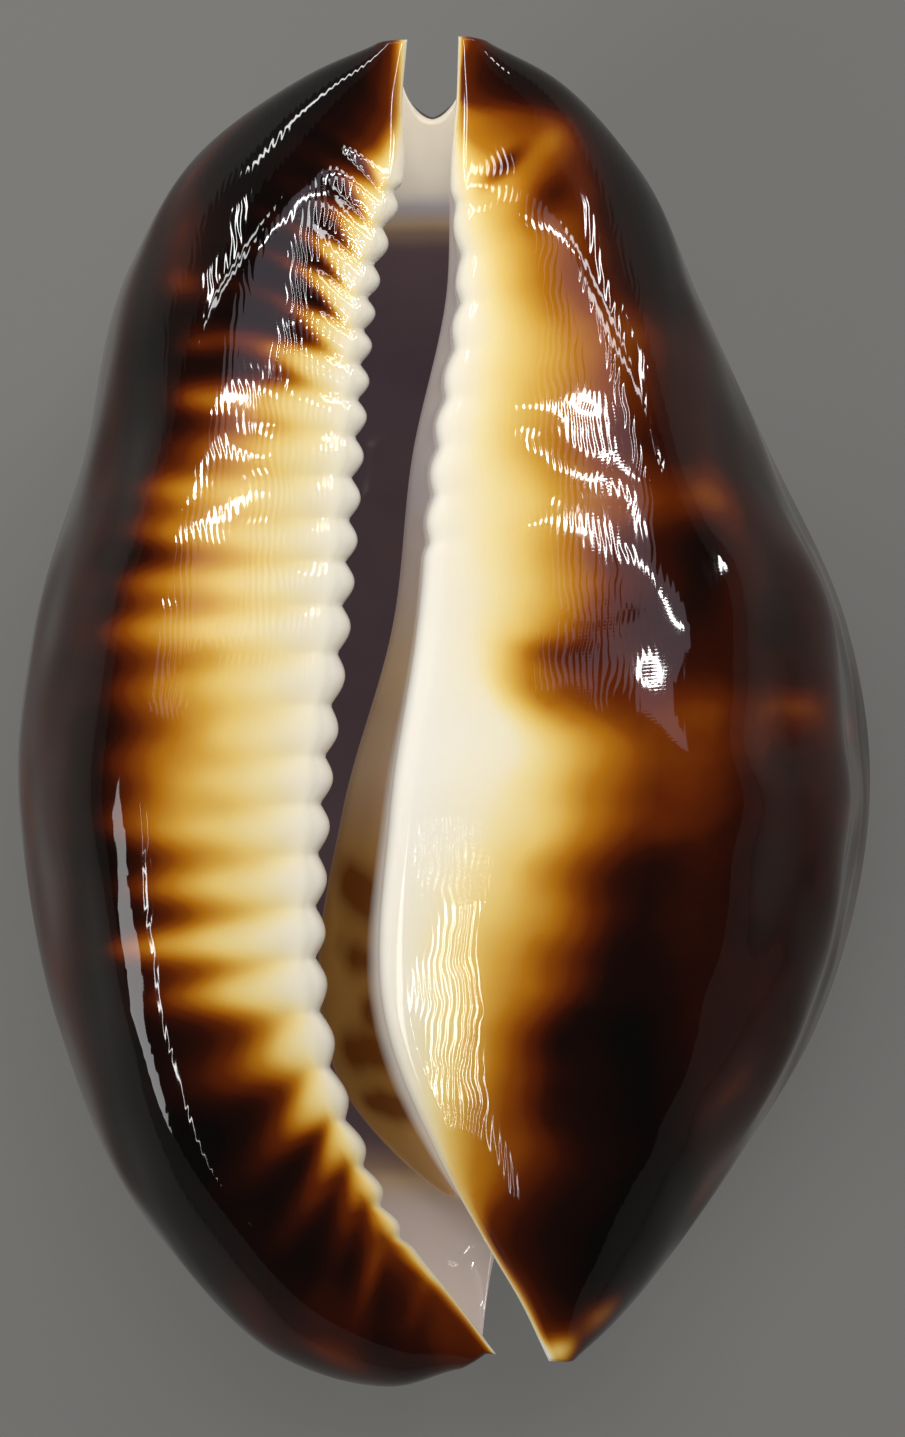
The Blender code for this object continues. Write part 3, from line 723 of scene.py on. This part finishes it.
# %% Build the shell
rows, around = grid.shape[:2]
points = ((grid + place)*to_size).reshape(-1, 3)
quads = join_folds(band_faces(rows, around), fold, rows, around)
used, quads = np.unique(quads, return_inverse=True)
quads = quads.reshape(-1, 4)
a, b, c, d = (points[used][quads[:, i]] for i in range(4))
volume = np.einsum("ij,ij->", a, np.cross(b, c) + np.cross(c, d))/6
if volume < 0:
    quads = quads[:, ::-1]
shell = surface_object("cowrie_enamel", points[used], quads,
                       {key: value.ravel()[used] for key, value in values.items()})
shell.data.shade_smooth()
print("shell:", len(used), "points,", 2*len(quads), "triangles, litres:", round(abs(volume)*1000, 3))

# %% [markdown]
# ## Shader groups
#
# Three effects serve the whole shell. One turns pigment into colour. One makes soft
# clouds, centred on nought, to break up whatever they are added to. The third is the
# fine relief of polished enamel: long low waves that bend a reflection, and close,
# slightly wandering ripples that comb its edge.

# %% Helpers for node trees
NUMBER, VECTOR, COLOUR = "NodeSocketFloat", "NodeSocketVector", "NodeSocketColor"


def new_group(name, inputs, output, kind):
    """An empty node group with one output, its inputs being numbers with usual values,
    or a vector for None; and the nodes in it for both ends."""
    group = bpy.data.node_groups.new(name, "ShaderNodeTree")
    for label, value in inputs.items():
        socket = group.interface.new_socket(
            label, in_out="INPUT", socket_type=VECTOR if value is None else NUMBER)
        if value is not None:
            socket.default_value = value
    group.interface.new_socket(output, in_out="OUTPUT", socket_type=kind)
    return group, group.nodes.new("NodeGroupInput"), group.nodes.new("NodeGroupOutput")


def feed(tree, socket, value):
    """Links a socket to an input, or sets the input to a plain value."""
    if isinstance(value, bpy.types.NodeSocket):
        tree.links.new(value, socket)
    elif value is not None:
        socket.default_value = value


def math_node(tree, operation, first, second=None, third=None, clamp=False):
    """A Math node; each operand is a socket to link or a plain number."""
    node = tree.nodes.new("ShaderNodeMath")
    node.operation, node.use_clamp = operation, clamp
    for socket, value in zip(node.inputs, (first, second, third)):
        feed(tree, socket, value)
    return node.outputs[0]


def mix_colour(tree, factor, first, second):
    """A colour Mix node; factor and colours are sockets or plain values."""
    node = tree.nodes.new("ShaderNodeMix")
    node.data_type = "RGBA"
    for number, value in ((0, factor), (6, first), (7, second)):
        feed(tree, node.inputs[number], value)
    return node.outputs[2]


def linear(colour):
    """Screen colour 0 to 255 into the light values that the shader works in."""
    c = np.array(colour)/255
    return tuple(np.where(c <= .04045, c/12.92, ((c + .055)/1.055)**2.4)) + (1,)


def ramp_node(tree, factor, stops):
    """A colour ramp with (position, screen colour) stops."""
    node = tree.nodes.new("ShaderNodeValToRGB")
    node.color_ramp.interpolation = "LINEAR"
    elements = node.color_ramp.elements
    while len(elements) < len(stops):
        elements.new(.5)
    for element, (position, colour) in zip(elements, stops):
        element.position, element.color = position, linear(colour)
    feed(tree, node.inputs[0], factor)
    return node.outputs[0]


# %% Pigment into colour
ENAMEL_STOPS = (
    (0, (246, 242, 232)), (.08, (246, 236, 208)), (.18, (245, 226, 168)), (.3, (236, 203, 118)),
    (.4, (216, 166, 66)), (.5, (184, 118, 20)), (.6, (140, 70, 6)), (.7, (94, 34, 4)),
    (.8, (52, 15, 4)), (.9, (26, 8, 4)), (1, (9, 5, 5)))
colour_group, colour_in, colour_out = new_group(
    "shell_pigment_colour", {"Pigment": .5}, "Colour", COLOUR)
enamel_colour = ramp_node(colour_group, colour_in.outputs["Pigment"], ENAMEL_STOPS)
feed(colour_group, colour_out.inputs["Colour"], enamel_colour)
print(len(ENAMEL_STOPS), "enamel colours")

# %% Clouds
CLOUD_DETAIL = 3
cloud_group, cloud_in, cloud_out = new_group(
    "shell_clouds", {"Position": None, "Per Metre": 200, "Roughness": .5}, "Cloud", NUMBER)
cloud_noise = cloud_group.nodes.new("ShaderNodeTexNoise")
cloud_noise.inputs["Detail"].default_value = CLOUD_DETAIL
for label, socket in (("Position", "Vector"), ("Per Metre", "Scale"), ("Roughness", "Roughness")):
    feed(cloud_group, cloud_noise.inputs[socket], cloud_in.outputs[label])
feed(cloud_group, cloud_out.inputs["Cloud"],
     math_node(cloud_group, "SUBTRACT", cloud_noise.outputs["Fac"], .5))
print("clouds of", CLOUD_DETAIL, "octaves")

# %% Enamel relief
# blobs per metre, and how much they are drawn out along Y and Z
WAVES_PER_METRE, WAVES_STRETCH = 200, (1, .8, .8)
RIPPLES = {"Scale": 850, "Distortion": 9, "Detail": 1, "Detail Scale": .45}
relief_group, relief_in, relief_out = new_group(
    "shell_enamel_relief", {"Position": None, "Waves": 1, "Ripples": 1}, "Height", NUMBER)
mapping = relief_group.nodes.new("ShaderNodeMapping")
mapping.inputs["Scale"].default_value = WAVES_STRETCH
waves = relief_group.nodes.new("ShaderNodeTexNoise")
waves.inputs["Scale"].default_value = WAVES_PER_METRE
waves.inputs["Detail"].default_value = 0
feed(relief_group, mapping.inputs["Vector"], relief_in.outputs["Position"])
feed(relief_group, waves.inputs["Vector"], mapping.outputs["Vector"])
ripples = relief_group.nodes.new("ShaderNodeTexWave")
for label, value in RIPPLES.items():
    ripples.inputs[label].default_value = value
feed(relief_group, ripples.inputs["Vector"], relief_in.outputs["Position"])
rippled = math_node(relief_group, "MULTIPLY", ripples.outputs["Fac"], relief_in.outputs["Ripples"])
feed(relief_group, relief_out.inputs["Height"],
     math_node(relief_group, "MULTIPLY_ADD", waves.outputs["Fac"], relief_in.outputs["Waves"], rippled))
print("groups:", [group.name for group in bpy.data.node_groups])

# %% [markdown]
# ## The enamel
#
# One material covers the shell, because on the real thing nothing is joined to
# anything. Clouds shift the pigment where it is neither thin nor dense, so its edges
# wander and the pale lip stays clean. The back has broad mottling of its own, which
# sets in softly on the flanks. But for its relief the surface is as smooth as glass,
# and light spreads a little way through the shell. The hollow glows a little in its
# own colour: that glow is painted light, which brightens the hollow's shade.

# %% Start of the material
enamel = bpy.data.materials.new("shell_enamel")
enamel.use_nodes = True
tree = enamel.node_tree
surface = tree.nodes["Principled BSDF"]
position = tree.nodes.new("ShaderNodeTexCoord").outputs["Object"]


def field(name):
    """The value of one of the mesh's fields."""
    node = tree.nodes.new("ShaderNodeAttribute")
    node.attribute_name = name
    return node.outputs["Fac"]


def placed(group, **sockets):
    """A group node with its inputs linked or set."""
    node = tree.nodes.new("ShaderNodeGroup")
    node.node_tree = group
    for label, value in sockets.items():
        feed(tree, node.inputs[label.replace("_", " ")], value)
    return node.outputs[0]


def added(value, strength, base, clamp=False):
    """value x strength + base."""
    return math_node(tree, "MULTIPLY_ADD", value, strength, base, clamp)


# %% Colour of the outside
SMALL_CLOUDS, BROAD_CLOUDS = 170, 75
SMALL_SHIFT, BROAD_SHIFT = .5, .3
MOTTLED_MEAN, MOTTLED_BROAD, MOTTLED_SMALL = .8, -1.3, .4

pigment_here = field("pigment")
small = placed(cloud_group, Position=position, Per_Metre=SMALL_CLOUDS, Roughness=.5)
broad = placed(cloud_group, Position=position, Per_Metre=BROAD_CLOUDS, Roughness=.55)
# pigment x (1 - pigment) is nothing where the pigment is thin or dense
halfway = math_node(tree, "MULTIPLY", pigment_here, math_node(tree, "SUBTRACT", 1, pigment_here))
shifted = added(math_node(tree, "MULTIPLY", halfway, SMALL_SHIFT), small, pigment_here)
shifted = added(math_node(tree, "MULTIPLY", broad, BROAD_SHIFT), pigment_here, shifted)
mottling = added(small, MOTTLED_SMALL, added(broad, MOTTLED_BROAD, MOTTLED_MEAN), clamp=True)
back_part = tree.nodes.new("ShaderNodeMix")
for number, value in ((0, field("mottled")), (2, shifted), (3, mottling)):
    feed(tree, back_part.inputs[number], value)
outside = placed(colour_group, Pigment=back_part.outputs[0])
print("small clouds every", round(1e3/SMALL_CLOUDS, 1), "mm")

# %% Colour of the lining
LINING_STOPS = (
    (0, (80, 66, 74)), (.2, (108, 90, 92)), (.42, (150, 124, 104)), (.55, (184, 160, 128)),
    (.78, (184, 178, 180)), (.9, (222, 214, 202)), (1, (240, 232, 212)))
LINING_SHIFT = .12
OLIVE, OLIVE_SHARE = (134, 92, 24), .9
STAIN_BROWN, STAIN_SHIFT, STAIN_LEAST, STAIN_GAIN = (88, 44, 0), .8, .1, 1.1
BLACK = (0, 0, 0, 1)
# painted light: how strongly the lining glows in its own colour
HOLLOW_PAINTED_LIGHT = .3

stain = math_node(tree, "SUBTRACT", added(small, STAIN_SHIFT, field("stains")), STAIN_LEAST)
stain = math_node(tree, "MULTIPLY", stain, STAIN_GAIN, clamp=True)
lining = ramp_node(tree, added(small, LINING_SHIFT, field("tone")), LINING_STOPS)
lining = mix_colour(tree, math_node(tree, "MULTIPLY", field("olive"), OLIVE_SHARE), lining, linear(OLIVE))
lining = mix_colour(tree, stain, lining, linear(STAIN_BROWN))
feed(tree, surface.inputs["Base Color"], mix_colour(tree, field("lining"), outside, lining))
# the lining's own colour as emission: painted light that brightens the hollow
feed(tree, surface.inputs["Emission Color"], mix_colour(tree, field("lining"), BLACK, lining))
surface.inputs["Emission Strength"].default_value = HOLLOW_PAINTED_LIGHT
print(len(LINING_STOPS), "lining colours")

# %% Gloss and relief
GRAIN_CLOUDS, GRAIN_SHIFT, SMOOTHNESS = 900, .04, .035
WAVE_HEIGHT, RIPPLE_HEIGHT, RELIEF_METRES = 1.5, .05, .0001
IOR, THROUGH, THROUGH_METRES = 1.52, .1, .0012

grain = placed(cloud_group, Position=position, Per_Metre=GRAIN_CLOUDS, Roughness=.6)
feed(tree, surface.inputs["Roughness"], added(grain, GRAIN_SHIFT, SMOOTHNESS))
for label, value in (("IOR", IOR), ("Subsurface Weight", THROUGH), ("Subsurface Scale", THROUGH_METRES)):
    surface.inputs[label].default_value = value
bump = tree.nodes.new("ShaderNodeBump")
bump.inputs["Distance"].default_value = RELIEF_METRES
relief = placed(relief_group, Position=position,
                Waves=math_node(tree, "MULTIPLY", field("wavy"), WAVE_HEIGHT),
                Ripples=math_node(tree, "MULTIPLY", field("combed"), RIPPLE_HEIGHT))
feed(tree, bump.inputs["Height"], relief)
feed(tree, surface.inputs["Normal"], bump.outputs["Normal"])
shell.data.materials.append(enamel)
print("enamel:", len(tree.nodes), "nodes")

# %% Hand the shell to the frame
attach(shell, "root")
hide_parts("shell")

# %% [markdown]
# ## Floor and light
#
# Gloss shows whatever stands round it, so the stage matters as much as the
# material. A grey floor runs far out to a low glowing wall, and above that wall all
# is dark, so the black enamel stays black on top and turns grey, with a crisp edge,
# where it leans out to see the wall. Five thin tubes hang over the front half, with
# a broad dim window on the smooth side. Beyond the front end are two pairs of tubes,
# four upright ones and a low strip: the ripples comb their images. Behind on the
# left, a thin tube in three lengths draws the long streak on the base, and a broad
# dim one the streak on the toothed side's margin.

# %% Floor and wall
FLOOR_RADIUS, WALL_HEIGHT = 1.1, .44
FLOOR_RINGS = (1e-4, .2, .4, .7)
FLOOR_GREY, FLOOR_GLOW = (97, 96.5, 94), .62
WALL_GREY, WALL_GLOW = (130, 126, 124), .35
PAPER_ROUGHNESS, PAPER_SHEEN = .85, .2


def turned(name, profile, segments=96):
    """A (radius, height) profile turned about Z: radius by cosine and sine."""
    turn = np.linspace(0, 2*np.pi, segments, endpoint=False)
    radius, height = np.array(profile).T
    points = np.stack([radius[:, None]*np.cos(turn), radius[:, None]*np.sin(turn),
                       np.repeat(height[:, None], segments, 1)], -1)
    made = surface_object(name, points.reshape(-1, 3), band_faces(len(radius), segments), {})
    made.data.shade_smooth()
    return made


def stage_material(name, colour, glow):
    """A matt paper, with the strength at which it glows."""
    made = bpy.data.materials.new(name)
    made.use_nodes = True
    matt = made.node_tree.nodes["Principled BSDF"]
    for label, value in (("Base Color", linear(colour)), ("Roughness", PAPER_ROUGHNESS),
                         ("Specular IOR Level", PAPER_SHEEN), ("Emission Color", linear(colour)),
                         ("Emission Strength", glow)):
        matt.inputs[label].default_value = value
    return made


floor = turned("floor", [(radius, 0) for radius in (*FLOOR_RINGS, FLOOR_RADIUS)])
floor.data.materials.append(stage_material("floor_paper", FLOOR_GREY, FLOOR_GLOW))
wall = turned("wall", ((FLOOR_RADIUS, 0), (FLOOR_RADIUS, WALL_HEIGHT)))
wall.data.materials.append(stage_material("wall_paper", WALL_GREY, WALL_GLOW))
print("floor", 2*FLOOR_RADIUS, "m across")

# %% Lamps
AIM = Vector((0, 0, .04))
WINDOW_COLOUR = (.96, .84, 1)
# each lamp runs from one point to another: x, y and z of both, width and radiance
LAMPS = {
    "overhead_0": (-.07, .075, .5, .08, .055, .5, .006, 52),
    "overhead_1": (-.07, .11, .5, .08, .09, .5, .006, 52),
    "overhead_2": (-.07, .145, .5, .08, .125, .5, .006, 52),
    "overhead_3": (-.06, .28, .5, .12, .3, .5, .006, 52),
    "overhead_4": (.12, .14, .5, .125, .26, .5, .006, 52),
    "window": (.035, .02, .52, .035, .34, .52, .17, 1),
    "forward_0": (-.42, .3, .5, -.14, .33, .5, .018, 12.6),
    "forward_1": (-.42, .36, .5, -.14, .39, .5, .018, 12.6),
    "forward_2": (.12, .27, .5, .42, .27, .5, .018, 12.6),
    "forward_3": (.12, .33, .5, .42, .35, .5, .018, 12.6),
    "upright_0": (-.41, .33, .13, -.41, .33, .45, .018, 28),
    "upright_1": (-.34, .39, .13, -.34, .39, .45, .018, 28),
    "upright_2": (.36, .34, .13, .36, .34, .45, .018, 28),
    "upright_3": (.43, .27, .13, .43, .27, .45, .018, 28),
    "front_strip": (-.4, .5, .07, .15, .58, .11, .02, 14),
    "base_streak": (-.112, -.09, .5, -.152, -.33, .5, .0055, 22),
    "streak_tip": (-.107, -.055, .5, -.112, -.09, .5, .0015, 16),
    "streak_tail": (-.152, -.33, .5, -.174, -.41, .5, .0025, 20),
    "margin_streak": (-.28, -.09, .5, -.5, -.33, .2, .17, 4.5),
}


def tube_lamp(name, row):
    """An area lamp from one point to another: its length runs between them, its face
    turns to the shell, and its power is pi times its area times the radiance."""
    start, end, (width, radiance) = Vector(row[:3]), Vector(row[3:6]), row[6:]
    made = bpy.data.objects.new(name, bpy.data.lights.new(name, "AREA"))
    made.data.shape = "RECTANGLE"
    made.data.size, made.data.size_y = (end - start).length, width
    made.data.energy = np.pi*made.data.size*width*radiance
    along = (end - start).normalized()
    back = (start + end)/2 - AIM
    back = (back - along*back.dot(along)).normalized()
    turn = Matrix((along, back.cross(along), back)).transposed()
    made.matrix_world = Matrix.Translation((start + end)/2) @ turn.to_4x4()
    bpy.context.scene.collection.objects.link(made)
    return made


lamps = {name: tube_lamp(name, row) for name, row in LAMPS.items()}
lamps["window"].data.color = WINDOW_COLOUR
print(len(lamps), "lamps")

# %% World and view
WORLD_GREY = (.03, .03, .03, 1)

world = bpy.data.worlds.new("studio")
bpy.context.scene.world = world
world.use_nodes = True
world.node_tree.nodes["Background"].inputs["Color"].default_value = WORLD_GREY
bpy.context.scene.view_settings.view_transform = "Standard"
